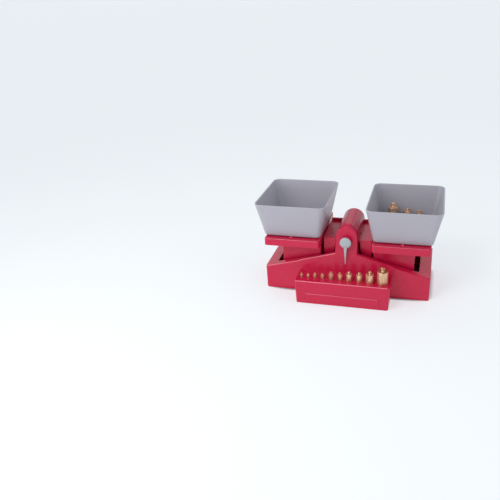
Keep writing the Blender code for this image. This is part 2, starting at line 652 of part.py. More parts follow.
def stay():
    """The bent bar below the beam that keeps both carriers upright, round its three pivots."""
    half_bar = STAY_BAR_HEIGHT / 2
    bend = [(-ARM_REACH, STAY_END_HEIGHT - half_bar), (0.0, STAY_PIVOT_HEIGHT - half_bar),
            (ARM_REACH, STAY_END_HEIGHT - half_bar), (ARM_REACH, STAY_END_HEIGHT + half_bar),
            (0.0, STAY_PIVOT_HEIGHT + half_bar), (-ARM_REACH, STAY_END_HEIGHT + half_bar)]
    piece = solid("stay", prism(bend, -STAY_THICKNESS / 2, STAY_THICKNESS / 2))
    half_boss = STAY_THICKNESS / 2 + BEAM_WALL
    join(piece, rod(STAY_BOSS_RADIUS, -half_boss, half_boss, 0.0, STAY_PIVOT_HEIGHT))
    for side in (-1, 1):
        join(piece, rod(STAY_BOSS_RADIUS, -HALF_SPINE, HALF_SPINE, side * ARM_REACH, STAY_END_HEIGHT))
    for x, height in ((0.0, STAY_PIVOT_HEIGHT), (-ARM_REACH, STAY_END_HEIGHT), (ARM_REACH, STAY_END_HEIGHT)):
        cut(piece, rod(PIN_RADIUS + RUNNING_GAP, -HALF_SPINE - OVERRUN, HALF_SPINE + OVERRUN, x, height,
                       ROUND_STEPS // 2))
    return piece


# Pans and weights

def pan(name, side):
    """A tapered tray with a thin wall, lofted up its outside, over its rim and down its inside."""
    floor_x = PAN_FLOOR_LENGTH / 2
    floor_y = PAN_FLOOR_DEPTH / 2
    flare_x = (PAN_RIM_LENGTH / 2 - floor_x) / PAN_HEIGHT
    flare_y = (PAN_RIM_DEPTH / 2 - floor_y) / PAN_HEIGHT
    flare_r = (PAN_RIM_RADIUS - PAN_FLOOR_RADIUS) / PAN_HEIGHT

    def ring(height, inset, radius_cut=0.0):
        rise = height - PAN_BOTTOM
        half_x = floor_x + flare_x * rise - inset
        half_y = floor_y + flare_y * rise - inset
        radius = PAN_FLOOR_RADIUS + flare_r * rise - min(inset, PAN_WALL) - radius_cut
        x = side * ARM_REACH
        return [(px, py, height) for px, py in rectangle(x - half_x, x + half_x, -half_y, half_y, radius)]

    rim = PAN_BOTTOM + PAN_HEIGHT
    recess = PAD_MARGIN - SEAT_GAP * 2
    lip = PAN_WALL / 4
    rings = [ring(PAN_RECESS, recess), ring(PAN_BOTTOM, recess), ring(PAN_BOTTOM, EDGE_RADIUS / 2),
             ring(PAN_BOTTOM + EDGE_RADIUS / 2, 0.0), ring(rim - lip, 0.0), ring(rim, lip),
             ring(rim, PAN_WALL - lip), ring(rim - lip, PAN_WALL),
             ring(PAN_FLOOR_TOP + EDGE_RADIUS, PAN_WALL), ring(PAN_FLOOR_TOP, PAN_WALL + EDGE_RADIUS * 0.8)]
    return solid(name, loft(rings))


def weight(name, grams, x, y, foot):
    """A round brass weight with a small knob, tall enough for its volume to give its mass."""
    radius = half_size(grams)
    knob = WEIGHT_SIZES[grams][1] / 2
    neck = knob * NECK_WIDTH_SHARE
    knob_height = knob * 2 * KNOB_SHARE
    neck_height = knob * 2 * NECK_SHARE
    knob_volume = math.pi * (knob ** 2 * knob_height * KNOB_FILL + neck ** 2 * neck_height)
    body = (grams / 1000 / WEIGHT_DENSITY - knob_volume) / (math.pi * radius ** 2)
    edge = radius * BODY_EDGE_SHARE
    shoulder = foot + body
    profile = [(radius - edge, foot), (radius, foot + edge),
               (radius, shoulder - edge), (radius - edge, shoulder),
               (neck * NECK_FLARE, shoulder + edge / 2), (neck, shoulder + neck_height / 2)]
    profile += [(knob * across, shoulder + neck_height + knob_height * up) for across, up in KNOB_OUTLINE]
    return solid(name, turned(profile, x, y, WEIGHT_STEPS))


def build():
    """Make every piece, place it on its joint's empty and give it its finish."""
    red = material("red_gloss", (0.55, 0.022, 0.055), 0.22, coat=0.5)
    red_inner = material("red_satin", (0.42, 0.02, 0.045), 0.4)
    grey = material("pan_grey", (0.45, 0.44, 0.50), 0.38)
    light = material("pointer_grey", (0.62, 0.63, 0.66), 0.3)
    brass = material("weight_brass", (0.75, 0.55, 0.30), 0.25, 1.0)
    steel = material("pin_steel", (0.55, 0.55, 0.56), 0.35, 1.0)
    bush = material("bush_grey", (0.12, 0.12, 0.13), 0.5)

    ground = axis_empty("scale_frame", None, (0.0, 0.0, 0.0))
    finish_piece(base_housing(), ground, red)
    finish_piece(bearing("front_bearing", -PYLON_BACK - BASE_WALL, -PYLON_BACK), ground, bush)
    half_post = POST_THICKNESS / 2
    finish_piece(bearing("rear_bearing", POST_PLACE - half_post, POST_PLACE + half_post), ground, bush)
    finish_piece(pin("stay_pin", 0.0, STAY_PIVOT_HEIGHT, LUG_OUT + SEAT_GAP), ground, steel)

    beam_axis = axis_empty("beam_axis", ground, (0.0, 0.0, PIVOT_HEIGHT))
    finish_piece(beam(), beam_axis, red)
    finish_piece(pivot_axle(), beam_axis, steel)
    finish_piece(pointer(), beam_axis, light)
    stay_axis = axis_empty("stay_axis", ground, (0.0, 0.0, STAY_PIVOT_HEIGHT))
    finish_piece(stay(), stay_axis, red_inner)

    for word, side in (("left", -1), ("right", 1)):
        x = side * ARM_REACH
        swing = axis_empty(word + "_carrier_axis", beam_axis, (x, 0.0, CARRIER_PIVOT_HEIGHT))
        finish_piece(carrier(word + "_carrier", side), swing, red)
        finish_piece(pin(word + "_upper_pin", x, CARRIER_PIVOT_HEIGHT, RIB_OUTER + SEAT_GAP), swing, steel)
        finish_piece(pin(word + "_lower_pin", x, STAY_END_HEIGHT, RIB_OUTER + SEAT_GAP), swing, steel)
        lift = axis_empty(word + "_pan_axis", swing, (x, 0.0, PAN_BOTTOM))
        finish_piece(pan(word + "_pan", side), lift, grey)

    for grams, letter, share in RACK_ROW:
        x = share * RACK_LENGTH / 2
        name = "weight_%dg" % grams + ("_" + letter if letter else "")
        spot = axis_empty(name + "_axis", ground, (x, RACK_ROW_Y, SOCKET_FLOOR))
        finish_piece(weight(name, grams, x, RACK_ROW_Y, SOCKET_FLOOR + SEAT_GAP), spot, brass)
    for grams, along, across in PAN_ROW:
        x = ARM_REACH + along * (PAN_FLOOR_LENGTH / 2 - PAN_WALL)
        y = across * (PAN_FLOOR_DEPTH / 2 - PAN_WALL - EDGE_RADIUS)
        spot = axis_empty("pan_weight_%dg_axis" % grams, lift, (x, y, PAN_FLOOR_TOP))
        finish_piece(weight("pan_weight_%dg" % grams, grams, x, y, PAN_FLOOR_TOP + SEAT_GAP), spot, brass)


for leftover in list(bpy.data.objects):
    bpy.data.objects.remove(leftover)
build()
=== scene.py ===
# %% [markdown]
# A balance scale with two lift-off pans, in Blender 4.5.
# The mechanism comes in as a fixed frame: every CAD piece at its real size and place.
# This lesson dresses it: fine surfaces for the pieces that show most, a procedural finish for all,
# a pale studio, soft light and a camera fitted to the photograph.
# Lengths are metres. X runs along the scale, Y goes back from the rack, and Z is up.

# %% Load the frame
import json
import math

import bmesh
import bpy
import numpy as np
from mathutils import Matrix, Vector


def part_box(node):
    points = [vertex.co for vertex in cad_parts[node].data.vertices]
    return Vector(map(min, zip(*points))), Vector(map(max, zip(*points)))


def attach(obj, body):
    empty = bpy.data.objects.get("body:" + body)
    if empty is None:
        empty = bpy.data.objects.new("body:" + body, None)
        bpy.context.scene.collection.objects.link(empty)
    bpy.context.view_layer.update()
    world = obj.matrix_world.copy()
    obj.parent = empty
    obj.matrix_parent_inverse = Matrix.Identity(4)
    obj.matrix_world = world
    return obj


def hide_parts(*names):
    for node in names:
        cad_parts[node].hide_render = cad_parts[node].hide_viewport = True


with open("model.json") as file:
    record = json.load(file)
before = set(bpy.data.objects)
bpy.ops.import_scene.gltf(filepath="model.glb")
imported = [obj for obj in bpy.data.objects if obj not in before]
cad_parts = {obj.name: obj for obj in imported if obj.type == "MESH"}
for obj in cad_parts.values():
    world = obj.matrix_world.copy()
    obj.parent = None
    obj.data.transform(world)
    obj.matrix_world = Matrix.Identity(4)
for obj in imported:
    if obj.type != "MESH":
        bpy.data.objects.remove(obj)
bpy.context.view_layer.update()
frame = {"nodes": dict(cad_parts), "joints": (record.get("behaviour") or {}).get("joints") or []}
joints = {joint["name"]: joint for joint in frame["joints"]}
MIDDLE_Y = joints["beam_tilt"]["pos_m"][1]

# %% [markdown]
# The camera. A pinhole camera was fitted to corners of the scale that can be read in the photograph.
# A lens in Blender is a focal length over a sensor width, and a principal point that isn't in the middle
# of the picture is a lens shift. The turn is built from the view direction, so that the roll stays exact.

# %% Camera at the photograph's place
FRAME_PIXELS = 500
FOCAL_PIXELS = 537.67
CENTRE_PIXEL = (298.53, 260.94)
AZIMUTH = math.radians(15.17)
ELEVATION = math.radians(27.66)
ROLL = math.radians(-2.57)
TARGET = Vector((-0.10256, MIDDLE_Y, 0.0255))
DISTANCE = 1.0464
SENSOR = 36.0

backward = Vector((math.sin(AZIMUTH) * math.cos(ELEVATION), -math.cos(AZIMUTH) * math.cos(ELEVATION),
                   math.sin(ELEVATION)))
level_right = (-backward).cross(Vector((0, 0, 1))).normalized()
level_up = level_right.cross(-backward)
right = math.cos(ROLL) * level_right + math.sin(ROLL) * level_up
up = math.cos(ROLL) * level_up - math.sin(ROLL) * level_right
lens = bpy.data.cameras.new("camera")
lens.sensor_width = SENSOR
lens.lens = SENSOR * FOCAL_PIXELS / FRAME_PIXELS
lens.shift_x = (FRAME_PIXELS / 2 - CENTRE_PIXEL[0]) / FRAME_PIXELS
lens.shift_y = (CENTRE_PIXEL[1] - FRAME_PIXELS / 2) / FRAME_PIXELS
lens.clip_start = 0.05
camera = bpy.data.objects.new("camera", lens)
turn = Matrix((right, up, backward)).transposed().to_4x4()
camera.matrix_world = Matrix.Translation(TARGET + backward * DISTANCE) @ turn
bpy.context.scene.collection.objects.link(camera)
bpy.context.scene.camera = camera
print("camera at", tuple(round(value, 3) for value in camera.location), "lens", round(lens.lens, 2))

# %% [markdown]
# Finishes are node trees. Writing them node by node is long, so a small class wraps an output socket and
# lets Python's own operators add the Math nodes: 1 - mask and mask * 0.2 read as they would on paper.

# %% Shader helpers
COLOUR_A = 6
COLOUR_B = 7
COLOUR_RESULT = 2
# Limits of the painted highlight on red edges: how far up and forward a round faces, not to the right, and below a
# height.
ROUND_FROM = 0.52
ROUND_TO = 0.985
FORWARD_FROM = 0.2
ASIDE_TO = 0.1
EDGE_TOP = 0.122


class Wire:
    """An output socket that can be added, subtracted, multiplied and divided."""

    def __init__(self, tree, socket):
        self.tree = tree
        self.socket = socket

    def maths(self, operation, first, second):
        return self.tree.node("ShaderNodeMath", {"operation": operation}, {0: first, 1: second})

    def __add__(self, other):
        return self.maths("ADD", self, other)

    def __sub__(self, other):
        return self.maths("SUBTRACT", self, other)

    def __rsub__(self, other):
        return self.maths("SUBTRACT", other, self)

    def __mul__(self, other):
        return self.maths("MULTIPLY", self, other)

    def __truediv__(self, other):
        return self.maths("DIVIDE", self, other)

    def power(self, other):
        return self.maths("POWER", self, other)

    def clamp(self):
        return self.tree.node("ShaderNodeClamp", {}, {"Value": self}, "Result")


class Tree:
    """A node tree whose node() adds any node: its type, its settings, then its sockets."""

    def __init__(self, tree):
        self.nodes = tree.nodes
        self.links = tree.links

    def node(self, kind, settings, inputs, output=0):
        item = self.nodes.new(kind)
        for name, value in settings.items():
            setattr(item, name, value)
        for socket, value in inputs.items():
            self.feed(item.inputs[socket], value)
        return Wire(self, item.outputs[output])

    def feed(self, socket, value):
        if isinstance(value, Wire):
            self.links.new(value.socket, socket)
        else:
            socket.default_value = value

    def split(self, vector, part):
        """The X, Y or Z part of a vector."""
        return self.node("ShaderNodeSeparateXYZ", {}, {"Vector": vector}, part)


class Finish(Tree):
    """A material with a Principled shader."""

    def __init__(self, name, **constants):
        self.material = bpy.data.materials.new(name)
        self.material.use_nodes = True
        super().__init__(self.material.node_tree)
        self.shader = self.nodes["Principled BSDF"]
        for socket, value in constants.items():
            self.shader.inputs[socket.replace("_", " ")].default_value = value

    def set(self, socket, value):
        self.feed(self.shader.inputs[socket], value)

    def place(self):
        return self.node("ShaderNodeTexCoord", {}, {}, "Object")

    def noise(self, scale, detail=2.0, roughness=0.5):
        return self.node("ShaderNodeTexNoise", {}, {"Vector": self.place(), "Scale": scale, "Detail": detail,
                                                    "Roughness": roughness})

    def mix(self, share, first, second):
        return self.node("ShaderNodeMix", {"data_type": "RGBA"},
                         {"Factor": share, COLOUR_A: first, COLOUR_B: second}, COLOUR_RESULT)

    def painted_glint_edges(self):
        """Painted highlight mask: 1 on the rounds that face up and forward, such as a top front edge, and 0 on flats
        and slopes.
        """
        normal = self.node("ShaderNodeNewGeometry", {}, {}, "Normal")
        aside, forward, upward = (self.split(normal, part) for part in "XYZ")
        slanted = ((upward - ROUND_FROM) * 12).clamp() * ((ROUND_TO - upward) * 16).clamp()
        facing = ((forward * -1 - FORWARD_FROM) * 5).clamp() * ((ASIDE_TO - aside) * 12).clamp()
        low = ((EDGE_TOP - self.split(self.place(), "Z")) * 400).clamp()
        return slanted * facing * low

    def bump(self, height, distance, strength, round_edges=0.0):
        inputs = {"Height": height, "Distance": distance, "Strength": strength}
        if round_edges:
            inputs["Normal"] = self.node("ShaderNodeBevel", {"samples": 6}, {"Radius": round_edges})
        return self.node("ShaderNodeBump", {}, inputs)


def linear(red, green, blue):
    """A screen colour, 0 to 255, as the linear colour that a shader wants."""
    share = np.array([red, green, blue]) / 255.0
    value = np.where(share <= 0.04045, share / 12.92, ((share + 0.055) / 1.055) ** 2.4)
    return tuple(float(part) for part in value) + (1.0,)


print("shader helpers ready")

# %% [markdown]
# Glossy moulded plastic. Pigmented plastic is a coloured body under a clear, slightly wavy skin. Up close
# the skin has a faint orange peel, its gloss is a little uneven where hands rub it, and sharp moulded edges
# are really small rounds. The Bevel node bends the normal near edges, which gives them their thin glint, and
# a painted highlight makes the rounds of the top front edges paler than the rest.

# %% Moulded plastics
# How strongly the painted highlight colour covers the rounds of the top front edges.
PAINTED_GLINT_SHARE = 0.8
DRIFT_SCALE = 9.0
RUBBED_SCALE = 34.0
PEEL_SCALE = 330.0
GRAIN_SCALE = 1400.0


def plastic(name, colour, deep, roughness, unevenness, peel, edge, painted_glint_colour=None, **constants):
    """Pigment that drifts between two close colours, uneven gloss and a fine skin."""
    finish = Finish(name, **constants)
    pigment = finish.mix(finish.noise(DRIFT_SCALE, 3.0, 0.55), colour, deep)
    # A painted highlight: a paler colour mixed into the rounds of the top front edges, where light would glint.
    if painted_glint_colour:
        pigment = finish.mix(finish.painted_glint_edges() * PAINTED_GLINT_SHARE, pigment, painted_glint_colour)
    finish.set("Base Color", pigment)
    rubbed = finish.noise(RUBBED_SCALE, 4.0, 0.6)
    grain = finish.noise(GRAIN_SCALE)
    finish.set("Roughness", (rubbed - 0.5) * unevenness + (grain - 0.5) * unevenness * 0.5 + roughness)
    skin = finish.noise(PEEL_SCALE, 1.0) * 0.7 + grain * 0.3
    finish.set("Normal", finish.bump(skin, peel, 1.0, edge))
    return finish.material


# The pale pink linear(245, 140, 160) is the painted highlight on the red top front edges.
RED = plastic("red_gloss", linear(199, 18, 66), linear(194, 16, 61), 0.27, 0.05, 0.000004, 0.0004,
              linear(245, 140, 160), Specular_IOR_Level=0.4, Coat_Weight=0.08, Coat_Roughness=0.12)
GREY = plastic("pan_satin", linear(175, 173, 183), linear(170, 168, 178), 0.40, 0.05, 0.000005, 0.0005)
POINTER_GREY = plastic("pointer_gloss", linear(174, 177, 185), linear(170, 173, 181), 0.3, 0.06, 0.000006, 0.0003)
BUSH = plastic("bush_dark", linear(60, 60, 62), linear(52, 52, 54), 0.5, 0.1, 0.00002, 0.0003)
print("plastics:", RED.name, GREY.name, POINTER_GREY.name, BUSH.name)

# %% [markdown]
# Brass and steel. The weights are turned on a lathe and polished, so their reflections are drawn out round
# the axis by grooves too fine to see. A wave along the height makes those grooves. A slow noise adds the faint
# tarnish that makes brass warm and uneven instead of a plain gold, and a stretched one adds upright streaks.

# %% Metals
TARNISH_SCALE = 160.0
STREAK_SCALE = 260.0
STREAK_STRETCH = 0.12
GROOVE_SCALE = 900.0


def metal(name, colour, tarnish, roughness, grooves, **constants):
    """Metal with lathe grooves across Z and a tarnish in patches and upright streaks."""
    finish = Finish(name, **constants)
    patches = finish.noise(TARNISH_SCALE, 5.0, 0.65)
    drawn = finish.node("ShaderNodeMapping", {}, {"Vector": finish.place(), "Scale": (1.0, 1.0, STREAK_STRETCH)})
    streaks = finish.node("ShaderNodeTexNoise", {}, {"Vector": drawn, "Scale": STREAK_SCALE, "Detail": 3.0})
    finish.set("Base Color", finish.mix(((streaks - 0.4) * 3.5 + patches - 0.4).clamp(), colour, tarnish))
    finish.set("Roughness", patches * 0.14 + roughness)
    lines = finish.node("ShaderNodeTexWave", {"wave_type": "BANDS", "bands_direction": "Z"},
                        {"Vector": finish.place(), "Scale": GROOVE_SCALE, "Distortion": 0.6, "Detail": 2.0}, 1)
    finish.set("Normal", finish.bump(lines, grooves, 0.6))
    return finish.material


BRASS = metal("weight_brass", linear(236, 200, 168), linear(196, 142, 108), 0.24, 0.00001, Metallic=0.8)
STEEL = metal("pin_steel", linear(200, 200, 202), linear(170, 168, 165), 0.28, 0.00001, Metallic=1.0)
print("metals:", BRASS.name, STEEL.name)

# %% [markdown]
# Surfaces from arrays. A shape is a grid of points: rows along one parameter, columns round a closed loop.
# One function turns any such grid into a mesh, and closes its first and last rows with a fan.

# %% Grid helpers
DOUBLES = 1e-7
SHARP_ANGLE = math.radians(38)
CORNER_POINTS = 12
SIDE_POINTS = 6


def skin_mesh(name, grid, close_start=True, close_end=True):
    """A mesh over a grid of shape (rows, columns, 3) whose columns close on themselves."""
    rows, columns = grid.shape[:2]
    index = np.arange(rows * columns).reshape(rows, columns)
    after = np.roll(index, -1, axis=1)
    faces = np.stack([index[:-1], after[:-1], after[1:], index[1:]], axis=-1).reshape(-1, 4).tolist()
    points = [grid.reshape(-1, 3)]
    for wanted, row, flip in ((close_start, 0, True), (close_end, rows - 1, False)):
        if wanted:
            centre = sum(len(part) for part in points)
            points.append(grid[row].mean(axis=0, keepdims=True))
            ring, following = index[row], after[row]
            if flip:
                ring, following = following, ring
            faces += np.stack([ring, following, np.full(columns, centre)], axis=-1).tolist()
    mesh = bpy.data.meshes.new(name)
    mesh.from_pydata(np.concatenate(points).tolist(), [], faces)
    return finish_mesh(mesh)


def finish_mesh(mesh):
    """Faces pointing out, and smooth shading that stops at real edges."""
    work = bmesh.new()
    work.from_mesh(mesh)
    bmesh.ops.remove_doubles(work, verts=work.verts, dist=DOUBLES)
    bmesh.ops.recalc_face_normals(work, faces=work.faces)
    work.to_mesh(mesh)
    work.free()
    mesh.shade_smooth()
    mesh.set_sharp_from_angle(angle=SHARP_ANGLE)
    return mesh


def show(name, mesh, material, body, slot, *nodes):
    """Put a finished mesh in the scene, on its body, in place of the CAD nodes that it stands for."""
    piece = bpy.data.objects.new(name, mesh)
    mesh.materials.clear()
    mesh.materials.append(material)
    bpy.context.scene.collection.objects.link(piece)
    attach(piece, body)
    if nodes:
        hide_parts(*nodes)
    print(name, len(mesh.polygons), "faces on", body)
    return piece


def rounded_loop(half_x, half_y, radius):
    """A rectangle with round corners: four quarter circles, with evenly spaced points on the sides between."""
    turns = np.linspace(0, math.pi / 2, CORNER_POINTS)
    loop = []
    for quarter, (sign_x, sign_y) in enumerate(((1, 1), (-1, 1), (-1, -1), (1, -1))):
        angles = turns + quarter * math.pi / 2
        centre = np.array([sign_x * (half_x - radius), sign_y * (half_y - radius)])
        loop.append(centre + radius * np.stack([np.cos(angles), np.sin(angles)], axis=-1))
    whole = []
    for index, corner in enumerate(loop):
        following = loop[(index + 1) % 4][0]
        share = np.linspace(0, 1, SIDE_POINTS + 2)[1:-1, None]
        whole += [corner, corner[-1] + share * (following - corner[-1])]
    return np.concatenate(whole)


print("grid helpers ready")

# %% [markdown]
# The pans. A pan is one thin moulded skin: flat floor, a small fillet, four drafted walls with round corners,
# and a rolled rim that catches the light. Its profile is a list of (height, draw-in) pairs that runs from
# the middle of the underside, up the outside, over the rim and down the inside to the floor. Each row of the
# grid is a rounded rectangle that is drawn in by that much from the drafted outer wall.

# %% Pans
WALL = 0.0022
RIM_ROUND = WALL / 2
FLOOR_FILLET = 0.004
FOOT_ROUND = 0.0014
RIM_CORNER = 0.0135
FOOT_CORNER = 0.0075
PAD_MARGIN = 0.0079
PAD_DEPTH = 0.0015
PAD_EDGE_HEIGHT = 0.0003
PAD_EDGE_WIDTH = 0.0004
FLOOR_THICKNESS = 0.0025
FLAT_REACH = 0.03
FLOOR_RING = 0.012
WALL_ROWS = 16
WALL_END = 0.001
FOOT_CLEAR = 0.003
FOOT_READ = 0.0005
FOOT_BREAK = 0.001


def arc(centre_height, centre_inset, radius, start, end, count=7):
    """Points on a quarter of the wall's profile: heights and draw-ins round a centre."""
    angles = np.radians(np.linspace(start, end, count))
    return np.stack([centre_height + radius * np.sin(angles), centre_inset - radius * np.cos(angles)], axis=-1)


def pan_grid(low, high, foot_x, foot_y):
    """Rounded rectangles whose half sizes grow straight with height, drawn in along the profile."""
    centre = (np.array(low) + np.array(high)) / 2
    rim_x, rim_y = (high[0] - low[0]) / 2, (high[1] - low[1]) / 2
    bottom, rim = low[2], high[2]
    recess = bottom + PAD_DEPTH
    floor = recess + FLOOR_THICKNESS
    under = np.array([(recess, PAD_MARGIN + FLAT_REACH), (recess, PAD_MARGIN + PAD_EDGE_WIDTH),
                      (recess - PAD_EDGE_HEIGHT, PAD_MARGIN), (bottom + PAD_EDGE_HEIGHT, PAD_MARGIN),
                      (bottom, PAD_MARGIN - PAD_EDGE_WIDTH), (bottom, FOOT_ROUND * 2)])
    foot = arc(bottom + FOOT_ROUND, FOOT_ROUND, FOOT_ROUND, -90, 0)
    outside = np.stack([np.linspace(bottom + FOOT_CLEAR, rim - RIM_ROUND - WALL_END, WALL_ROWS), np.zeros(WALL_ROWS)],
                       axis=-1)
    lip = arc(rim - RIM_ROUND, RIM_ROUND, RIM_ROUND, 0, 180, 11)
    inside = np.stack([np.linspace(rim - RIM_ROUND - WALL_END, floor + FLOOR_FILLET + WALL_END, WALL_ROWS),
                       np.full(WALL_ROWS, WALL)], axis=-1)
    fillet_angles = np.radians(np.linspace(0, 90, 8))
    fillet = np.stack([floor + FLOOR_FILLET * (1 - np.sin(fillet_angles)),
                       WALL + FLOOR_FILLET * (1 - np.cos(fillet_angles))], axis=-1)
    middle = np.array([(floor, WALL + FLOOR_FILLET + FLOOR_RING), (floor, WALL + FLOOR_FILLET + FLAT_REACH)])
    profile = np.concatenate([under, foot, outside, lip, inside, fillet, middle])
    rows = []
    for height, inset in profile:
        share = (height - bottom) / (rim - bottom)
        half_x = foot_x + (rim_x - foot_x) * share - inset
        half_y = foot_y + (rim_y - foot_y) * share - inset
        radius = max(FOOT_CORNER + (RIM_CORNER - FOOT_CORNER) * share - min(inset, FOOT_CORNER * 0.6), 0.001)
        loop = rounded_loop(half_x, half_y, radius)
        rows.append(np.column_stack([loop + centre[:2], np.full(len(loop), height)]))
    return np.array(rows)


for word in ("left", "right"):
    low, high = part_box(word + "_pan")
    node = frame["nodes"][word + "_pan"]
    points = np.array([vertex.co for vertex in node.data.vertices])
    foot_ring = points[points[:, 2] < low[2] + FOOT_READ]
    foot_x, foot_y = (foot_ring.max(axis=0) - foot_ring.min(axis=0))[:2] / 2 + FOOT_BREAK
    grid = pan_grid(low, high, foot_x, foot_y)
    show(word + "_pan_skin", skin_mesh(word + "_pan_skin", grid), GREY, word + "_pan", "pan", word + "_pan")

# %% [markdown]
# The brass weights. Each is turned from bar: a plain body with broken edges, a neck that flares into the
# body's shoulder, and a small round knob.
# A turned shape is a profile of (radius, height) pairs spun round an upright axis. The corners of the profile
# are rounded first, by sampling a short curve across each of them, so that every edge has its glint.

# %% Weights
EDGE_SHARE = 0.07
KNOB_SHARE = 0.42
NECK_SHARE = 0.45
NECK_WIDTH = 0.5
NECK_FLARE = 0.7
NECK_SPREAD = 0.15
KNOB_FULLNESS = 0.6
CURVE_POINTS = 5


def softened(corners, reach):
    """A profile whose inner corners are replaced by quadratic curves that start a reach before each corner."""
    corners = np.array(corners, float)
    rows = [corners[:1]]
    for last, corner, following in zip(corners, corners[1:], corners[2:]):
        back, ahead = last - corner, following - corner
        cut = min(reach, np.linalg.norm(back) * 0.45, np.linalg.norm(ahead) * 0.45)
        start = corner + back / np.linalg.norm(back) * cut
        end = corner + ahead / np.linalg.norm(ahead) * cut
        share = np.linspace(0, 1, CURVE_POINTS)[:, None]
        rows.append((1 - share) ** 2 * start + 2 * share * (1 - share) * corner + share ** 2 * end)
    rows.append(corners[-1:])
    return np.concatenate(rows)


def turned_grid(profile, centre_x, centre_y, columns=48):
    """Each (radius, height) pair of the profile becomes a circle of points round the axis."""
    angles = np.linspace(0, 2 * math.pi, columns, endpoint=False)
    radius, height = profile[:, :1], profile[:, 1:]
    return np.stack([centre_x + radius * np.cos(angles), centre_y + radius * np.sin(angles),
                     height + 0 * angles], axis=-1)


def weight_profile(radius, knob, foot, top):
    """Body, flared neck and round knob of one weight, between its foot and its top."""
    knob_height = knob * 2 * KNOB_SHARE
    neck_height = knob * 2 * NECK_SHARE
    shoulder = top - knob_height - neck_height
    edge = radius * EDGE_SHARE
    neck = knob * NECK_WIDTH
    body = softened([(radius * 0.2, foot), (radius - edge, foot), (radius, foot + edge),
                     (radius, shoulder - edge), (radius - edge, shoulder), (neck * 2.2, shoulder)], edge)
    climb = np.linspace(0, 1, 10)
    flare = neck + neck * NECK_FLARE * (1 - climb) ** 3 + neck * NECK_SPREAD * climb ** 4
    neck_rows = np.stack([flare, shoulder + neck_height * climb], axis=-1)
    dome = np.radians(np.linspace(-62, 86, 17))
    head = np.stack([knob * np.cos(dome) ** KNOB_FULLNESS,
                     top - knob_height / 2 + knob_height / 2 * np.sin(dome)], axis=-1)
    return np.concatenate([body, neck_rows, head])


KNOBS = {1: 0.0034, 2: 0.0036, 5: 0.0043, 10: 0.0051, 20: 0.0063, 50: 0.0086}
weights = [name for name in frame["nodes"] if "weight" in name]
for name in sorted(weights):
    low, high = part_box(name)
    grams = int(name.split("weight_")[1].split("g")[0])
    middle = (low + high) / 2
    profile = weight_profile((high.x - low.x) / 2, KNOBS[grams] / 2, low.z, high.z)
    mesh = skin_mesh(name + "_turned", turned_grid(profile, middle.x, middle.y))
    show(name + "_turned", mesh, BRASS, name, "weight", name)

# %% [markdown]
# The pointer. A shallow domed disc carries a needle that tapers to its tip. The disc is a turned profile laid
# along Y. The needle is a row of rounded cross-sections that shrink as they go down, and it starts inside the
# disc, so the two read as one moulding.

# %% Pointer
DISC_EDGE = 0.0012
DISC_THICK = 0.0045
DISC_DOME = 0.0022
HUB_RADIUS = 0.0052
NEEDLE_THICK = 0.0022
NEEDLE_THINNING = 0.45
NEEDLE_ROOT = 0.0062
NEEDLE_TIP = 0.0013
NEEDLE_TAPER = 1.15
NEEDLE_SQUARED = 0.6
NEEDLE_OVERLAP = 0.55

low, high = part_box("pointer")
pivot_height = joints["beam_tilt"]["pos_m"][2]
disc_radius = (high.x - low.x) / 2
disc_front = low.y
disc_back = disc_front + DISC_THICK
angles = np.linspace(0, math.pi / 2, 10)
dome = np.stack([disc_radius * np.sin(angles), disc_front + DISC_DOME * (1 - np.cos(angles))], axis=-1)[1:]
edge = softened([dome[-1], (disc_radius, disc_back), (HUB_RADIUS, disc_back), (HUB_RADIUS, high.y)], DISC_EDGE)
profile = np.concatenate([dome, edge[1:]])
laid = turned_grid(profile, 0.0, 0.0, 64)
disc_grid = np.stack([laid[..., 0], laid[..., 2], pivot_height + laid[..., 1]], axis=-1)

drop = np.linspace(0, 1, 24)[:, None]
taper = (1 - drop) ** NEEDLE_TAPER
width = NEEDLE_ROOT * taper + NEEDLE_TIP * (1 - taper)
thick = NEEDLE_THICK * (1 - NEEDLE_THINNING * drop)
around = np.linspace(0, 2 * math.pi, 24, endpoint=False)
round_x = np.sign(np.cos(around)) * np.abs(np.cos(around)) ** NEEDLE_SQUARED
round_y = np.sign(np.sin(around)) * np.abs(np.sin(around)) ** NEEDLE_SQUARED
needle_top = pivot_height - disc_radius * NEEDLE_OVERLAP
needle_grid = np.stack([width / 2 * round_x, disc_front + DISC_DOME + thick / 2 * round_y,
                        needle_top - (needle_top - low.z) * drop + 0 * around], axis=-1)
show("pointer_disc", skin_mesh("pointer_disc", disc_grid), POINTER_GREY, "beam", "pointer", "pointer")
show("pointer_needle", skin_mesh("pointer_needle", needle_grid), POINTER_GREY, "beam", "pointer")

# %% [markdown]
# The red mouldings keep their CAD form, which already has the real rounds, walls and openings. A CAD node
# comes in as loose triangles. A copy is merged, its flat stretches are made one face each again, and, on all
# but the beam, a small bevel breaks its square outer corners as a mould does. Inner corners stay sharp, and the
# rounds that the CAD has already stay smooth. Weighted normals then keep the flat faces flat in the light.

# %% Red mouldings
MERGE = 0.000001
FLAT_ANGLE = math.radians(0.4)
CORNER_ANGLE = math.radians(50)
SHORTEST_EDGE = 0.0007
NARROWEST_FACE = 0.0005
FLAT_WEIGHT = 60


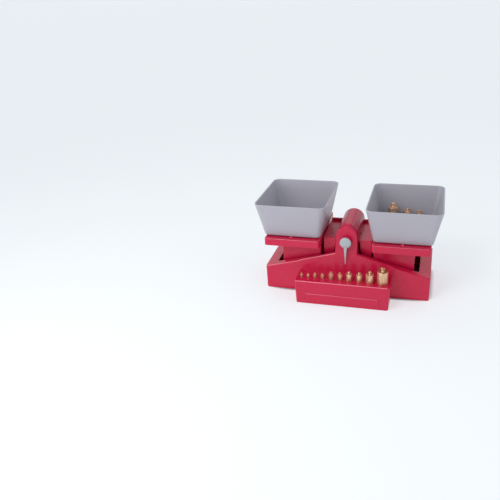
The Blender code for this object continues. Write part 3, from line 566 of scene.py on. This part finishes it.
def moulded_copy(node, breaks):
    """The CAD node's mesh in whole faces, with its square outer corners marked for a bevel if it breaks."""
    mesh = frame["nodes"][node].data.copy()
    mesh.name = node + "_moulding"
    work = bmesh.new()
    work.from_mesh(mesh)
    bmesh.ops.remove_doubles(work, verts=work.verts, dist=MERGE)
    bmesh.ops.dissolve_limit(work, angle_limit=FLAT_ANGLE, verts=work.verts, edges=work.edges)
    bmesh.ops.recalc_face_normals(work, faces=work.faces)
    marked = work.edges.layers.float.new("bevel_weight_edge")
    for edge in work.edges:
        if edge.is_manifold and edge.calc_face_angle() > CORNER_ANGLE:
            length = edge.calc_length()
            width = min(face.calc_area() for face in edge.link_faces) / length
            edge.smooth = breaks and edge.is_convex and length > SHORTEST_EDGE and width > NARROWEST_FACE
            edge[marked] = float(edge.smooth)
    work.to_mesh(mesh)
    work.free()
    mesh.shade_smooth()
    return mesh


def broken_edges(piece, width):
    """A live bevel on every marked edge, and normals weighted by face size so that flats stay flat."""
    if width:
        bevel = piece.modifiers.new("broken_edges", "BEVEL")
        bevel.width = width
        bevel.segments = 2
        bevel.limit_method = "WEIGHT"
        bevel.use_clamp_overlap = False
    flats = piece.modifiers.new("flats", "WEIGHTED_NORMAL")
    flats.mode = "FACE_AREA"
    flats.weight = FLAT_WEIGHT
    flats.keep_sharp = True


EDGE_BREAKS = {"base_housing": ("base", 0.0003), "beam": ("beam", 0.0),
               "left_carrier": ("left_carrier", 0.0003), "right_carrier": ("right_carrier", 0.0003),
               "stay": ("stay", 0.0003)}
for node, (body, width) in EDGE_BREAKS.items():
    moulding = show(node + "_moulding", moulded_copy(node, width > 0), RED, body, "body", node)
    broken_edges(moulding, width)
for finish, nodes in ((BUSH, ("front_bearing", "rear_bearing")),
                      (STEEL, ("stay_pin", "pivot_axle", "left_upper_pin", "right_upper_pin", "left_lower_pin",
                               "right_lower_pin"))):
    for node in nodes:
        frame["nodes"][node].data.materials.clear()
        frame["nodes"][node].data.materials.append(finish)

# %% [markdown]
# The studio: a wide pale floor that runs flat to the horizon, and a sky that is white behind the scale and
# dimmer in front and overhead. Upward faces then mirror the white and get their pale sheen, while the front
# faces, which mirror the dim side, keep their deep colour. The floor glows a little, as white paper does under
# many lamps; below the scale the glow is left out, which paints a shade on the floor there. Three lights: a soft
# key low on the left in front, a small one above it for the thin glints on brass and edges, and a weak fill from the
# right.

# %% Floor, light and sky
FLOOR_FLAT = 26.0
FLOOR_REACH = 40.0
FLOOR_DROP = 0.0002
FLOOR_RISE = 0.01
FLOOR_GLOW = 0.55
SHADE_HALF_X = 0.152
SHADE_HALF_Y = 0.068
SKY_BACK = 0.86
SKY_FRONT = 0.46
SKY_TOP_SHARE = 0.85
SKY_COLOUR = (0.92, 0.96, 1.0, 1.0)
GLOW_COLOUR = (0.93, 0.965, 1.0, 1.0)
BLACK = (0.0, 0.0, 0.0, 1.0)

rings = np.geomspace(0.05, FLOOR_REACH, 60)[:, None]
spokes = np.linspace(0, 2 * math.pi, 96, endpoint=False)
rise = np.clip(rings - FLOOR_FLAT, 0, None) ** 2 * FLOOR_RISE
floor_grid = np.stack([rings * np.cos(spokes), rings * np.sin(spokes), rise + 0 * spokes - FLOOR_DROP], axis=-1)
floor = bpy.data.objects.new("floor", skin_mesh("floor", floor_grid, True, False))
pale = Finish("floor_pale", Roughness=0.8, Emission_Strength=FLOOR_GLOW)
# Painted shade: the floor's glow is cut out in a soft rounded box below the scale, so the floor is darker there.
across = pale.split(pale.place(), "X") / SHADE_HALF_X
deep = (pale.split(pale.place(), "Y") - MIDDLE_Y) / SHADE_HALF_Y
outside = (((across * across).power(4) + (deep * deep).power(4) - 0.7) * 2.0).clamp()
pale.set("Emission Color", pale.mix(outside, BLACK, GLOW_COLOUR))
pale.set("Base Color", pale.mix(pale.noise(3.0, 2.0), (0.42, 0.44, 0.45, 1.0), (0.41, 0.43, 0.44, 1.0)))
floor.data.materials.append(pale.material)
bpy.context.scene.collection.objects.link(floor)


def soft_light(name, place, aim, size, power, colour):
    """A square area light at a place, facing a point."""
    data = bpy.data.lights.new(name, "AREA")
    data.size = size
    data.energy = power
    data.color = colour
    light = bpy.data.objects.new(name, data)
    direction = Vector(aim) - Vector(place)
    light.matrix_world = Matrix.Translation(place) @ direction.to_track_quat("-Z", "Y").to_matrix().to_4x4()
    bpy.context.scene.collection.objects.link(light)


soft_light("key", (-0.56, -0.76, 0.53), (0, 0, 0.08), 0.7, 3.35, (1.0, 0.985, 0.98))
soft_light("glint", (-0.30, -0.56, 1.0), (-0.03, -0.08, 0.06), 0.3, 2.3, (1.0, 1.0, 0.97))
soft_light("fill", (1.25, -0.15, 0.70), (0, 0, 0.08), 1.0, 1.8, (1.0, 1.0, 0.95))

sky = bpy.data.worlds.new("sky")
sky.use_nodes = True
dome = Tree(sky.node_tree)
ray = dome.node("ShaderNodeTexCoord", {}, {}, "Generated")
ray_y, ray_z = dome.split(ray, "Y"), dome.split(ray, "Z")
dimmed = (ray_y * -1.6).clamp() * (ray_z * 3.0).clamp()
overhead = ((ray_z - 0.35) * 1.8).clamp()
strength = (SKY_BACK - dimmed * (SKY_BACK - SKY_FRONT)) * (1 - overhead * (1 - SKY_TOP_SHARE))
dome.feed(dome.nodes["Background"].inputs["Strength"], strength)
dome.feed(dome.nodes["Background"].inputs["Color"], SKY_COLOUR)
bpy.context.scene.world = sky
bpy.context.scene.view_settings.view_transform = "Standard"
print("studio ready")
